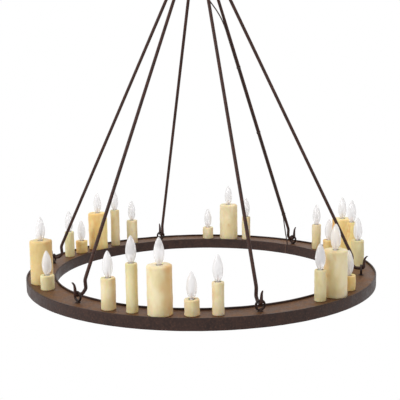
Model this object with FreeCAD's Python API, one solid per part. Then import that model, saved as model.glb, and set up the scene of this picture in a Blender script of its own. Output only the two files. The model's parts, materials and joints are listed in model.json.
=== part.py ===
"""Wagon wheel chandelier: a flat iron ring carries candle lights and hangs by hooked rods,
a hub plate and a short chain from a ceiling canopy. Millimetres, +Z up, origin at the centre
of the mounting strap's top face, which bears on the ceiling."""

import FreeCAD, Part
import math
import os

from FreeCAD import Vector

# ---- clearances -----------------------------------------------------------------------
seat_gap = 0.3          # pieces that rest on each other but can move
weld_gap = 0.1          # plate edges let in between the hoops
bore_clearance = 0.2    # plain holes round shanks and tubes, on the radius
thread_clearance = 0.1  # threaded bores, on the radius

# ---- ring -----------------------------------------------------------------------------
ring_outer_radius = 609.6
tray_width = 101.6
band_height = 38.1
band_thickness = 4.8
tray_depth = 6.0        # from the hoops' top edges down to the tray
tray_thickness = 2.5
cover_thickness = 1.5
cover_recess = 2.2      # from the hoops' bottom edges up to the wireway cover

# ---- candles --------------------------------------------------------------------------
pillar_radius, pillar_height = 37.5, 146.0
tall_radius, tall_height = 18.0, 147.0
medium_radius, medium_height = 22.5, 96.0
slim_radius, slim_height = 18.0, 97.0
short_radius, short_height = 22.8, 48.0
pillar_edge = 5.0       # rounding of a pillar's top rim
candle_edge = 3.0       # rounding of the other top rims
group_count = 3         # groups of five, and as many groups of three between them
large_group = (("medium", -17.0), ("tall", -8.8), ("pillar", 0.0), ("short", 9.5), ("slim", 17.2))
small_group = (("slim", -7.8), ("pillar", 0.0), ("short", 9.1))
large_group_azimuth = 30.0
small_group_azimuth = 90.0

# ---- lamp holders ---------------------------------------------------------------------
holder_radius = 9.8
holder_length = 35.0
holder_bore_radius = 6.6
holder_bore_depth = 24.0
holder_recess = 1.5     # holder's mouth below the candle's top
cover_bore_clearance = 0.5
stem_radius = 4.8
stem_bore_radius = 3.2
stem_entry = 6.0        # stem's length inside the holder
stem_flange_radius = 9.0
stem_flange_height = 2.0
stem_tail = 8.0         # stem below the tray
stem_nut_flats = 14.0
stem_nut_height = 4.0

# ---- bulbs ----------------------------------------------------------------------------
bulb_radius = 15.9
bulb_height = 80.0      # glass tip above the candle's top
glass_thickness = 0.9
cap_radius = 5.9
cap_length = 17.0
cap_button_radius = 2.4
cap_cone_length = 3.5
neck_radius = 6.1
glass_stem_radius = 3.4
glass_stem_height = 24.0
filament_wire_radius = 0.4
filament_half_width = 4.5
filament_height = 14.0
filament_foot_depth = 3.0   # filament's feet inside the glass stem
filament_foot_gap = 0.3
filament_bends = (2.0, 1.2, 2.0)
cap_bevel = 0.6
cap_button_height = 1.0

# ---- rods and eyes --------------------------------------------------------------------
rod_count = 6
rod_radius = 5.55
rod_foot_inset = 2.1    # a rod's straight line meets the ring's top plane inside the tray circle
hook_knee_inset = 29.8  # from the tray circle in to where the rod turns down to its hook
hook_shin_inset, hook_shin_height = 33.3, 31.0
hook_heel_inset = 18.8
hook_shoulder_bend = 20.0   # bends of the rod's middle line, from the hub down to the eye
hook_knee_bend = 28.0
hook_shin_bend = 12.0
hook_heel_bend = 14.0
horn_lead_in = 1.0      # straight run between the hook's last bend and the horn
# (outwards from the tray circle, above the hoops' top edges, share of the rod's radius)
horn_stations = ((8.9, 33.0, 0.86), (10.4, 40.6, 0.72), (14.1, 49.3, 0.55), (22.7, 61.0, 0.27))
eye_height = 13.0       # eye's centre above the hoops' top edges
eye_wire_radius = 3.25
eye_mean_radius = 13.75
eye_foot_radius = 9.0
eye_foot_height = 4.0
eye_shank_radius = 4.0
eye_shank_length = 18.0
eye_nut_flats = 13.0
eye_nut_height = 6.5

# ---- hub ------------------------------------------------------------------------------
hub_radius = 70.0
hub_thickness = 6.0
hub_hole_inset = 18.0   # from the hub plate's rim in to the holes' circle
hub_hole_radius = 6.5
hub_height = 1012.0     # hub plate's top face above the hoops' top edges
hub_edge = 1.5
hub_hook_gap = 0.85     # between the hub plate's rim and the rod beside it
hub_hook_shoulder = 11.8   # below the hub plate's top face, where the straight rod starts
hub_hook_tail = 24.0
hub_tail_end_radius = 2.6
hub_eye_wire_radius = 3.5
hub_eye_mean_radius = 14.0
hub_shoulder_radius = 9.0
hub_shoulder_height = 3.0
hub_neck_height = 10.2
hub_shank_radius = 5.0
hub_nut_flats = 17.0
hub_nut_height = 8.0
hub_shank_tail = 4.0

# ---- chain ----------------------------------------------------------------------------
link_names = ("chain_link_top", "chain_link_middle", "chain_link_bottom")
link_wire_radius = 3.0
link_mean_radius = 14.0
link_inner_length = 42.0

# ---- ceiling mount --------------------------------------------------------------------
canopy_radius = 70.0
canopy_depth = 30.0
canopy_wall = 1.5
canopy_floor_radius = 31.0
canopy_bend_radius, canopy_bend_depth = 61.5, 17.5
strap_length = 112.0
strap_width = 20.0
strap_thickness = 2.5
strap_hole_spacing = 88.9
strap_hole_radius = 2.4
nipple_radius = 4.8
nipple_bore_radius = 3.2
nipple_nut_flats = 14.0
nipple_nut_height = 5.0
collar_radius = 15.0
collar_height = 8.0
loop_neck_radius = 8.5
loop_neck_length = 15.0
loop_wire_radius = 3.5
loop_mean_radius = 14.0
nipple_entry = 12.0     # nipple's length inside the loop's neck

# ---- supply lead ----------------------------------------------------------------------
lead_radius = 2.25
lead_azimuth = 60.0
tie_heights = (705.0, 463.0, 127.0)
tie_width = 5.0
tie_thickness = 1.1
grommet_outer_radius = 4.6
grommet_flange_radius = 6.4
grommet_flange_height = 1.2
tray_grommet_inset = 37.8   # from the tray circle in to the grommet's middle
hub_grommet_circle = 32.0
canopy_bush_place = (15.0, -16.8)
lead_joins_rod = 132.0      # below the hub plate's top face
lead_leaves_rod = 10.0      # below the lowest tie
# (outwards from the hub's grommet, below the hub plate's top face)
lead_head_route = ((0.0, 0.0), (0.0, 34.0), (14.0, 70.0))
# (inwards from the tray circle, above the hoops' top edges)
lead_foot_route = ((61.3, 92.0), (54.8, 66.0), (49.8, 42.0), (43.3, 22.0), (37.8, 3.0))
lead_canopy_run = 16.0      # straight out of the canopy
lead_beside_chain = 8.0     # from the axis, both ways, where two links meet
lead_within_link = 5.6      # from the axis where the lead goes through a link
lead_meeting_rise = 3.0     # above the bottom of a link
lead_hub_run = 6.0          # straight into the hub plate's grommet
lead_hub_turn = (4.0, 22.0)     # short of the grommet, below the last meeting
arc_share = 0.45            # of the shorter run beside a corner that its arc takes

# ---- wireway --------------------------------------------------------------------------
wiring_radius = 2.8
tap_radius = 1.4
tap_entry = 4.0
post_count = 6
post_azimuth = 15.0
post_outset = 25.2      # from the tray circle out to the stand-offs
post_radius = 4.0
post_bore_radius = 1.9
screw_radius = 1.7
screw_length = 10.0
screw_head_radius = 3.8
screw_head_height = 1.8

# ---- places worked out from the above -------------------------------------------------
ring_inner_radius = ring_outer_radius - tray_width
tray_circle = ring_outer_radius - tray_width / 2
tray_grommet_circle = tray_circle - tray_grommet_inset
post_circle = tray_circle + post_outset
hub_hole_circle = hub_radius - hub_hole_inset
hub_hook_side = hub_radius + rod_radius + hub_hook_gap
hub_crook = (hub_hook_side - hub_hole_circle) / 2    # hook's middle line, which rests on the hole
hub_hook_rise = math.sqrt((hub_crook - rod_radius - seat_gap) ** 2
                          - (hub_crook - hub_hole_radius) ** 2)
rod_foot_radius = tray_circle - rod_foot_inset
rod_apex_height = (hub_height - hub_hook_shoulder) / (1 - hub_hook_side / rod_foot_radius)
collar_bottom = -canopy_depth - collar_height
neck_bottom = -canopy_depth - loop_neck_length
loop_bottom = neck_bottom - 2 * loop_mean_radius
link_drop = link_inner_length + 2 * link_wire_radius
first_link_top = loop_bottom + loop_wire_radius + seat_gap + link_wire_radius
link_step = link_drop - 2 * link_wire_radius - seat_gap
link_tops = [first_link_top - i * link_step for i in range(len(link_names))]
last_link_bottom = link_tops[-1] - link_drop
hub_eye_top = last_link_bottom + link_wire_radius + seat_gap + hub_eye_wire_radius
hub_eye_centre = hub_eye_top - hub_eye_mean_radius
hub_top = hub_eye_centre - hub_eye_mean_radius - hub_neck_height - hub_shoulder_height
hub_bottom = hub_top - hub_thickness
ring_top = hub_top - hub_height
tray_top = ring_top - tray_depth
tray_bottom = tray_top - tray_thickness
ring_bottom = ring_top - band_height
cover_bottom = ring_bottom + cover_recess
cover_top = cover_bottom + cover_thickness
wiring_height = cover_top + wiring_radius + seat_gap
rod_slope = math.atan2(rod_foot_radius, rod_apex_height)


# ---- shapes used by several pieces ----------------------------------------------------
def rod_line_height(radius):
    """Height above the hoops' top edges at which a rod's straight line has that radius."""
    return rod_apex_height * (1 - radius / rod_foot_radius)


def rod_line_radius(height):
    """Radius of a rod's straight line at a height above the hoops' top edges."""
    return rod_foot_radius * (1 - height / rod_apex_height)


def polar(radius, azimuth, z):
    """Point at a radius and an azimuth in degrees."""
    angle = math.radians(azimuth)
    return Vector(radius * math.cos(angle), radius * math.sin(angle), z)


def turned(shape, azimuth):
    """Copy of a shape turned about the chandelier's axis."""
    copy = shape.copy()
    copy.rotate(Vector(0, 0, 0), Vector(0, 0, 1), azimuth)
    return copy


def drum(radius, bottom, top, centre=Vector(0, 0, 0)):
    """Upright cylinder between two heights."""
    return Part.makeCylinder(radius, top - bottom, Vector(centre.x, centre.y, bottom))


def tube(outer, inner, bottom, top, centre=Vector(0, 0, 0)):
    """Upright tube between two heights."""
    return drum(outer, bottom, top, centre).cut(drum(inner, bottom, top, centre))


def turned_profile(points):
    """Solid of revolution about Z from (radius, height) corners."""
    corners = [Vector(r, 0, z) for r, z in points]
    outline = Part.makePolygon(corners + corners[:1])
    return Part.Face(outline).revolve(Vector(0, 0, 0), Vector(0, 0, 1), 360)


def hexagon(flats, bottom, top, bore, centre=Vector(0, 0, 0)):
    """Hexagon nut with a plain bore."""
    corner = flats / math.sqrt(3)
    points = [polar(corner, 60 * i, bottom) + Vector(centre.x, centre.y, 0) for i in range(7)]
    nut = Part.Face(Part.makePolygon(points)).extrude(Vector(0, 0, top - bottom))
    return nut.cut(drum(bore, bottom, top, centre))


def rounded_path(points, radii):
    """Straight runs joined by tangent arcs, with one radius for each inner point."""
    edges = []
    start = points[0]
    for before, corner, after, radius in zip(points, points[1:], points[2:], radii):
        inward = (corner - before).normalize()
        outward = (after - corner).normalize()
        turn = inward.getAngle(outward)
        setback = radius * math.tan(turn / 2)
        arc_start = corner - inward * setback
        arc_end = corner + outward * setback
        bisector = (outward - inward).normalize()
        centre = corner + bisector * (radius / math.cos(turn / 2))
        arc_middle = centre - bisector * radius
        if (arc_start - start).Length > 0.01:
            edges.append(Part.LineSegment(start, arc_start).toShape())
        edges.append(Part.Arc(arc_start, arc_middle, arc_end).toShape())
        start = arc_end
    edges.append(Part.LineSegment(start, points[-1]).toShape())
    return Part.Wire(edges)


def largest_radii(points):
    """Arc radii for a cord: a share of the shorter run beside each point, over tan(half turn)."""
    radii = []
    for before, corner, after in zip(points, points[1:], points[2:]):
        turn = (corner - before).getAngle(after - corner)
        shorter = min((corner - before).Length, (after - corner).Length)
        radii.append(arc_share * shorter / math.tan(turn / 2))
    return radii


def swept(path, radius):
    """Round bar along a path."""
    first = path.Edges[0]
    start = first.valueAt(first.FirstParameter)
    along = first.tangentAt(first.FirstParameter)
    section = Part.Wire(Part.makeCircle(radius, start, along))
    return path.makePipeShell([section], True, True)


def tapered(points, directions, radii):
    """Round bar that tapers through a circle at each point."""
    sections = [
        Part.Wire(Part.makeCircle(radius, point, along))
        for point, along, radius in zip(points, directions, radii)
    ]
    return Part.makeLoft(sections, True, False)


def closed_link(top, wire_radius, mean_radius, drop):
    """Chain link in the XZ plane, hanging from the given height of its top wire's centre."""
    upper = top - mean_radius
    lower = top - drop + mean_radius
    left, right = Vector(-mean_radius, 0, upper), Vector(mean_radius, 0, upper)
    low_left, low_right = Vector(-mean_radius, 0, lower), Vector(mean_radius, 0, lower)
    path = Part.Wire([
        Part.Arc(left, Vector(0, 0, top), right).toShape(),
        Part.LineSegment(right, low_right).toShape(),
        Part.Arc(low_right, Vector(0, 0, top - drop), low_left).toShape(),
        Part.LineSegment(low_left, left).toShape(),
    ])
    section = Part.Wire(Part.makeCircle(wire_radius, left, Vector(0, 0, 1)))
    return path.makePipeShell([section], True, True)


# ---- ceiling mount --------------------------------------------------------------------
def canopy():
    """Spun steel dish against the ceiling, with holes for the nipple and the lead."""
    def dish(inset):
        rim = Vector(canopy_radius - inset, 0, 0)
        floor = Vector(canopy_floor_radius, 0, inset - canopy_depth)
        middle = Vector(0, 0, inset - canopy_depth)
        diagonal = inset / math.sqrt(2)
        bend = Vector(canopy_bend_radius - diagonal, 0, diagonal - canopy_bend_depth)
        outline = Part.Wire([
            Part.LineSegment(Vector(0, 0, 0), rim).toShape(),
            Part.Arc(rim, bend, floor).toShape(),
            Part.LineSegment(floor, middle).toShape(),
            Part.LineSegment(middle, Vector(0, 0, 0)).toShape(),
        ])
        return Part.Face(outline).revolve(Vector(0, 0, 0), Vector(0, 0, 1), 360)

    bush_place = Vector(canopy_bush_place[0], canopy_bush_place[1], 0)
    holes = [
        drum(nipple_radius + bore_clearance, -canopy_depth, 0),
        drum(grommet_outer_radius, -canopy_depth, 0, bush_place),
    ]
    return dish(0).cut(dish(canopy_wall)).cut(holes)


def mounting_strap():
    """Flat steel strap screwed to the ceiling box; the nipple screws into its middle."""
    half = strap_length / 2
    corner = Vector(-half, -strap_width / 2, -strap_thickness)
    strap = Part.makeBox(strap_length, strap_width, strap_thickness, corner)
    upright = [edge for edge in strap.Edges if abs(edge.tangentAt(edge.FirstParameter).z) > 0.9]
    strap = strap.makeFillet(strap_width / 4, upright)
    holes = [drum(nipple_radius + thread_clearance, -strap_thickness, 0)]
    for side in (-1, 1):
        place = Vector(side * strap_hole_spacing / 2, 0, 0)
        holes.append(drum(strap_hole_radius, -strap_thickness, 0, place))
    return strap.cut(holes)


def hanger_nipple():
    """Hollow threaded tube from the strap down into the loop, with its locknut."""
    bottom = -canopy_depth - nipple_entry
    nipple = tube(nipple_radius, nipple_bore_radius, bottom, 0)
    nut_top = -strap_thickness
    nut = hexagon(nipple_nut_flats, nut_top - nipple_nut_height, nut_top,
                  nipple_radius + thread_clearance)
    return Part.makeCompound([nipple, nut])


def collar_ring():
    """Knurled ring on the loop's neck that holds the canopy up."""
    ring = tube(collar_radius, loop_neck_radius + thread_clearance, collar_bottom, -canopy_depth)
    rims = [edge for edge in ring.Edges
            if isinstance(edge.Curve, Part.Circle) and edge.Curve.Radius == collar_radius]
    return ring.makeFillet(collar_height / 5, rims)


def canopy_loop():
    """Closed loop whose neck screws on the nipple; the chain hangs from it."""
    neck = drum(loop_neck_radius, neck_bottom, -canopy_depth)
    centre = Vector(0, 0, neck_bottom - loop_mean_radius)
    ring = Part.makeTorus(loop_mean_radius, loop_wire_radius, centre, Vector(0, 1, 0))
    bore = drum(nipple_radius + thread_clearance, -canopy_depth - nipple_entry, -canopy_depth)
    return neck.fuse(ring).removeSplitter().cut(bore)


def grommet(centre, plate_bottom, plate_top):
    """Rubber ring in a plate's hole, with a flange above and below."""
    bore = lead_radius + bore_clearance
    hole = grommet_outer_radius - bore_clearance
    low = plate_bottom - grommet_flange_height
    high = plate_top + grommet_flange_height
    body = turned_profile([
        (bore, low), (grommet_flange_radius, low), (grommet_flange_radius, plate_bottom),
        (hole, plate_bottom), (hole, plate_top), (grommet_flange_radius, plate_top),
        (grommet_flange_radius, high), (bore, high),
    ])
    body.translate(Vector(centre.x, centre.y, 0))
    return body


def canopy_bush():
    """Grommet where the lead comes out of the canopy."""
    place = Vector(canopy_bush_place[0], canopy_bush_place[1], 0)
    return grommet(place, -canopy_depth, -canopy_depth + canopy_wall)


# ---- chain ----------------------------------------------------------------------------
def chain_links():
    """Welded links in alternate planes, each hanging in the one above."""
    links = {}
    for i, name in enumerate(link_names):
        link = closed_link(link_tops[i], link_wire_radius, link_mean_radius, link_drop)
        links[name] = turned(link, 90 * ((i + 1) % 2))
    return links


# ---- hub ------------------------------------------------------------------------------
def hub_plate():
    """Round plate that all the rods hook into."""
    plate = drum(hub_radius, hub_bottom, hub_top)
    rims = [edge for edge in plate.Edges if isinstance(edge.Curve, Part.Circle)]
    plate = plate.makeFillet(hub_edge, rims)
    holes = [drum(hub_shank_radius + bore_clearance, hub_bottom, hub_top)]
    for i in range(rod_count):
        place = polar(hub_hole_circle, i * 360 / rod_count, 0)
        holes.append(drum(hub_hole_radius, hub_bottom, hub_top, place))
    lead_place = polar(hub_grommet_circle, lead_azimuth, 0)
    holes.append(drum(grommet_outer_radius, hub_bottom, hub_top, lead_place))
    return plate.cut(holes)


def hub_eye_bolt():
    """Forged eye bolt through the hub plate; the chain's last link holds its eye."""
    centre = Vector(0, 0, hub_eye_centre)
    eye = Part.makeTorus(hub_eye_mean_radius, hub_eye_wire_radius, centre, Vector(0, 1, 0))
    neck_top = hub_eye_centre - hub_eye_mean_radius
    shoulder_top = hub_top + hub_shoulder_height
    shank_end = hub_bottom - hub_nut_height - hub_shank_tail
    stem = turned_profile([
        (0, shank_end), (hub_shank_radius, shank_end), (hub_shank_radius, hub_top),
        (hub_shoulder_radius, hub_top), (hub_shoulder_radius, shoulder_top),
        (hub_eye_wire_radius + 1, neck_top), (0, neck_top),
    ])
    return eye.fuse(stem).removeSplitter()


def eye_bolt_nuts():
    """Hexagon nuts under the hub plate and under the tray."""
    nuts = [hexagon(hub_nut_flats, hub_bottom - hub_nut_height, hub_bottom,
                    hub_shank_radius + thread_clearance)]
    for i in range(rod_count):
        place = polar(tray_circle, i * 360 / rod_count, 0)
        nuts.append(hexagon(eye_nut_flats, tray_bottom - eye_nut_height, tray_bottom,
                            eye_shank_radius + thread_clearance, place))
    return Part.makeCompound(nuts)


# ---- rods and eyes --------------------------------------------------------------------
def hook_rod():
    """Round iron rod in the XZ plane: a hook over the hub plate's rim at its upper end,
    a hook through a ring eye and a curled, pointed horn at its lower end."""
    crook = hub_crook
    crook_top = hub_height - hub_hook_rise + crook
    crook_end = crook_top - crook
    hook_bottom = eye_height + eye_mean_radius - eye_wire_radius - rod_radius - seat_gap
    eye_wire_height = eye_height + eye_mean_radius
    horn_turn = eye_wire_height - hook_bottom
    hook_knee = tray_circle - hook_knee_inset
    route = [
        (hub_hole_circle, crook_end),
        (hub_hole_circle, crook_top),
        (hub_hook_side, crook_top),
        (hub_hook_side, rod_line_height(hub_hook_side)),
        (hook_knee, rod_line_height(hook_knee)),
        (tray_circle - hook_shin_inset, hook_shin_height),
        (tray_circle - hook_heel_inset, hook_bottom),
        (tray_circle + horn_turn, hook_bottom),
        (tray_circle + horn_turn, hook_bottom + horn_turn + horn_lead_in),
    ]
    bends = [crook, crook, hook_shoulder_bend, hook_knee_bend, hook_shin_bend, hook_heel_bend,
             horn_turn]
    points = [Vector(r, 0, ring_top + z) for r, z in route]
    rod = swept(rounded_path(points, bends), rod_radius)
    tail_start = points[0]
    tail_end = tail_start - Vector(0, 0, hub_hook_tail)
    down = Vector(0, 0, -1)
    tail = tapered([tail_start, tail_end], [down, down], [rod_radius, hub_tail_end_radius])
    return rod.fuse([tail, horn(points[-1])]).removeSplitter()


def horn(start):
    """Tapered horn that rises outside the eye and curls outwards to a point."""
    places = [start] + [Vector(tray_circle + out, 0, ring_top + z) for out, z, _ in horn_stations]
    leans = [Vector(0, 0, 1)]
    leans += [(after - before).normalize() for before, after in zip(places, places[2:])]
    leans.append((places[-1] - places[-2]).normalize())
    radii = [rod_radius] + [rod_radius * share for _, _, share in horn_stations]
    return tapered(places, leans, radii)


def hook_rods():
    """One rod for each hole of the hub plate."""
    master = hook_rod()
    return {f"hook_rod_{i + 1}": turned(master, i * 360 / rod_count) for i in range(rod_count)}


def ring_eyes():
    """Forged eye bolts on the tray, each with its hole facing the chandelier's axis."""
    centre = Vector(tray_circle, 0, ring_top + eye_height)
    ring = Part.makeTorus(eye_mean_radius, eye_wire_radius, centre, Vector(1, 0, 0))
    shank_end = tray_top - tray_thickness - eye_shank_length + eye_foot_height
    waist = eye_wire_radius + 1.0
    ring_low = ring_top + eye_height - eye_mean_radius
    stem = turned_profile([
        (0, shank_end), (eye_shank_radius, shank_end), (eye_shank_radius, tray_top),
        (eye_foot_radius, tray_top), (eye_foot_radius - 1, tray_top + 1.2),
        (waist, tray_top + eye_foot_height), (waist, ring_low), (0, ring_low),
    ])
    stem.translate(Vector(tray_circle, 0, 0))
    eye = ring.fuse(stem).removeSplitter()
    return Part.makeCompound([turned(eye, i * 360 / rod_count) for i in range(rod_count)])


# ---- ring -----------------------------------------------------------------------------
def candle_places():
    """Kind and azimuth of each candle."""
    places = []
    for i in range(group_count):
        centre = i * 360 / group_count
        places += [(kind, large_group_azimuth + centre + offset) for kind, offset in large_group]
        places += [(kind, small_group_azimuth + centre + offset) for kind, offset in small_group]
    return places


def outer_band():
    """Flat bar rolled on edge into the outer hoop."""
    return tube(ring_outer_radius, ring_outer_radius - band_thickness, ring_bottom, ring_top)


def inner_band():
    """Flat bar rolled on edge into the inner hoop."""
    return tube(ring_inner_radius + band_thickness, ring_inner_radius, ring_bottom, ring_top)


def tray_plate():
    """Flat ring plate between the hoops, with holes for stems, eyes and the lead."""
    plate = tube(ring_outer_radius - band_thickness - weld_gap,
                 ring_inner_radius + band_thickness + weld_gap, tray_bottom, tray_top)
    holes = []
    for _, azimuth in candle_places():
        holes.append(drum(stem_radius + bore_clearance, tray_bottom, tray_top,
                          polar(tray_circle, azimuth, 0)))
    for i in range(rod_count):
        holes.append(drum(eye_shank_radius + bore_clearance, tray_bottom, tray_top,
                          polar(tray_circle, i * 360 / rod_count, 0)))
    holes.append(drum(grommet_outer_radius, tray_bottom, tray_top,
                      polar(tray_grommet_circle, lead_azimuth, 0)))
    return plate.cut(holes)


def wireway_cover():
    """Thin ring plate that closes the channel under the tray."""
    plate = tube(ring_outer_radius - band_thickness - weld_gap,
                 ring_inner_radius + band_thickness + weld_gap, cover_bottom, cover_top)
    holes = [drum(screw_radius + bore_clearance, cover_bottom, cover_top, place)
             for place in post_places()]
    return plate.cut(holes)


def post_places():
    """Centres of the stand-offs under the tray."""
    return [polar(post_circle, post_azimuth + i * 360 / post_count, 0)
            for i in range(post_count)]


def cover_fixings():
    """Stand-offs welded under the tray, and the screws that hold the cover to them."""
    pieces = []
    for place in post_places():
        post = drum(post_radius, cover_top, tray_bottom, place)
        post_bore = drum(post_bore_radius, cover_top, cover_top + screw_length + 1, place)
        pieces.append(post.cut(post_bore))
        screw = drum(screw_radius, cover_bottom, cover_bottom + screw_length, place)
        head = drum(screw_head_radius, cover_bottom - screw_head_height, cover_bottom, place)
        pieces.append(screw.fuse(head).removeSplitter())
    return Part.makeCompound(pieces)


# ---- supply lead ----------------------------------------------------------------------
def lead_beside_rod(height):
    """(radius, height) of the lead where it lies along the inner side of its rod."""
    offset = rod_radius + lead_radius + seat_gap
    return (rod_line_radius(height) - offset * math.cos(rod_slope),
            height - offset * math.sin(rod_slope))


def supply_lead():
    """Lead from the hub plate's grommet down its rod and through the tray to the wiring."""
    wiring = wiring_height - ring_top
    route = [(hub_grommet_circle + out, hub_height - drop) for out, drop in lead_head_route]
    route += [lead_beside_rod(hub_height - lead_joins_rod),
              lead_beside_rod(tie_heights[-1] - lead_leaves_rod)]
    route += [(tray_circle - inset, z) for inset, z in lead_foot_route]
    route += [(tray_grommet_circle, wiring), (tray_circle - wiring_radius, wiring)]
    points = [Vector(r, 0, ring_top + z) for r, z in route]
    radii = largest_radii(points)
    print("supply lead radii", [round(radius) for radius in radii])
    path = rounded_path(points, radii)
    lead = swept(path, lead_radius)
    print("supply lead length", round(path.Length), "volume over section times length",
          round(lead.Volume / (math.pi * lead_radius ** 2 * path.Length), 4))
    return turned(lead, lead_azimuth)


def lead_ties():
    """Narrow bands round the rod and the lead."""
    ties = []
    along = Vector(math.sin(rod_slope), 0, -math.cos(rod_slope))
    across = Vector(-math.cos(rod_slope), 0, -math.sin(rod_slope))
    spread = rod_radius + lead_radius + seat_gap
    for height in tie_heights:
        rod_point = Vector(rod_line_radius(height), 0, ring_top + height)
        start = rod_point - along * (tie_width / 2)

        def wrap(extra):
            big, small = rod_radius + extra, lead_radius + extra
            lean = math.asin((big - small) / spread)
            side = Vector(0, 1, 0)
            corner = across * math.sin(lean)
            flank = math.cos(lean)
            upper = [start + corner * big + side * (flank * big),
                     start + across * spread + corner * small + side * (flank * small)]
            lower = [start + across * spread + corner * small - side * (flank * small),
                     start + corner * big - side * (flank * big)]
            outline = Part.Wire([
                Part.LineSegment(upper[0], upper[1]).toShape(),
                Part.Arc(upper[1], start + across * (spread + small), lower[0]).toShape(),
                Part.LineSegment(lower[0], lower[1]).toShape(),
                Part.Arc(lower[1], start - across * big, upper[0]).toShape(),
            ])
            return Part.Face(outline).extrude(along * tie_width)

        band = wrap(weld_gap + tie_thickness).cut(wrap(weld_gap))
        ties.append(turned(band, lead_azimuth))
    return Part.makeCompound(ties)


def lead_grommets():
    """Grommets in the hub plate and in the tray."""
    return Part.makeCompound([
        grommet(polar(hub_grommet_circle, lead_azimuth, 0), hub_bottom, hub_top),
        grommet(polar(tray_grommet_circle, lead_azimuth, 0), tray_bottom, tray_top),
    ])


def chain_lead():
    """Lead from the canopy, woven through the links, to the hub plate's grommet."""
    beside, within = lead_beside_chain, lead_within_link
    meetings = [bottom + lead_meeting_rise
                for bottom in [loop_bottom] + [top - link_drop for top in link_tops]]
    middles = [top - link_drop / 2 for top in link_tops]
    start_x, start_y = canopy_bush_place
    end = polar(hub_grommet_circle, lead_azimuth, hub_top)
    points = [
        Vector(start_x, start_y, -canopy_depth + canopy_wall),
        Vector(start_x, start_y, -canopy_depth - lead_canopy_run),
        Vector(beside, -beside, meetings[0]),
        Vector(0, -within, middles[0]),
        Vector(-beside, -beside, meetings[1]),
        Vector(-within, 0, middles[1]),
        Vector(-beside, beside, meetings[2]),
        Vector(0, within, middles[2]),
        Vector(beside, beside + 1, meetings[3]),
        Vector(end.x, end.y - lead_hub_turn[0], meetings[3] - lead_hub_turn[1]),
        end + Vector(0, 0, lead_hub_run),
        end,
    ]
    radii = largest_radii(points)
    print("chain lead radii", [round(radius) for radius in radii])
    path = rounded_path(points, radii)
    lead = swept(path, lead_radius)
    print("chain lead length", round(path.Length), "volume over section times length",
          round(lead.Volume / (math.pi * lead_radius ** 2 * path.Length), 4))
    return lead


def wiring_loop():
    """Cable loop lying in the wireway, with a tap up into each stem."""
    loop = Part.makeTorus(tray_circle, wiring_radius, Vector(0, 0, wiring_height))
    stem_bottom = tray_bottom - stem_tail
    taps = [drum(tap_radius, wiring_height, stem_bottom + tap_entry,
                 polar(tray_circle, azimuth, 0)) for _, azimuth in candle_places()]
    return loop.fuse(taps)


# ---- candles --------------------------------------------------------------------------
candle_sizes = {
    "pillar": (pillar_radius, pillar_height, pillar_edge),
    "tall": (tall_radius, tall_height, candle_edge),
    "medium": (medium_radius, medium_height, candle_edge),
    "slim": (slim_radius, slim_height, candle_edge),
    "short": (short_radius, short_height, candle_edge),
}


def candle_cover(kind):
    """Cast sleeve with a rounded top rim; the lamp holder stands in its bore."""
    radius, height, edge = candle_sizes[kind]
    body = drum(radius, tray_top, tray_top + height)
    rim = [e for e in body.Edges
           if isinstance(e.Curve, Part.Circle) and e.Curve.Center.z > tray_top + height / 2]
    body = body.makeFillet(edge, rim)
    bore = holder_radius + cover_bore_clearance
    return body.cut(drum(bore, tray_top, tray_top + height))


def candle_covers(kind):
    """All the sleeves of one size."""
    master = candle_cover(kind)
    covers = []
    for other, azimuth in candle_places():
        if other == kind:
            cover = master.copy()
            cover.translate(polar(tray_circle, azimuth, 0))
            covers.append(cover)
    return Part.makeCompound(covers)


def holder_top(kind):
    """Height of a lamp holder's mouth."""
    return tray_top + candle_sizes[kind][1] - holder_recess


def lamp_holders():
    """Moulded candelabra lamp holders, one in each candle."""
    holders = []
    for kind, azimuth in candle_places():
        place = polar(tray_circle, azimuth, 0)
        top = holder_top(kind)
        bottom = top - holder_length
        body = drum(holder_radius, bottom, top, place)
        bore = drum(holder_bore_radius, top - holder_bore_depth, top, place)
        entry = drum(stem_radius + thread_clearance, bottom, bottom + stem_entry, place)
        holders.append(body.cut([bore, entry]))
    return Part.makeCompound(holders)


def holder_stems():
    """Hollow threaded stems through the tray, each with a flange above and a nut below."""
    pieces = []
    bottom = tray_bottom - stem_tail
    for kind, azimuth in candle_places():
        place = polar(tray_circle, azimuth, 0)
        top = holder_top(kind) - holder_length + stem_entry
        stem = drum(stem_radius, bottom, top, place)
        flange = drum(stem_flange_radius, tray_top, tray_top + stem_flange_height, place)
        stem = stem.fuse(flange).removeSplitter()
        pieces.append(stem.cut(drum(stem_bore_radius, bottom, top, place)))
        pieces.append(hexagon(stem_nut_flats, tray_bottom - stem_nut_height, tray_bottom,
                              stem_radius + thread_clearance, place))
    return Part.makeCompound(pieces)


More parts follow.
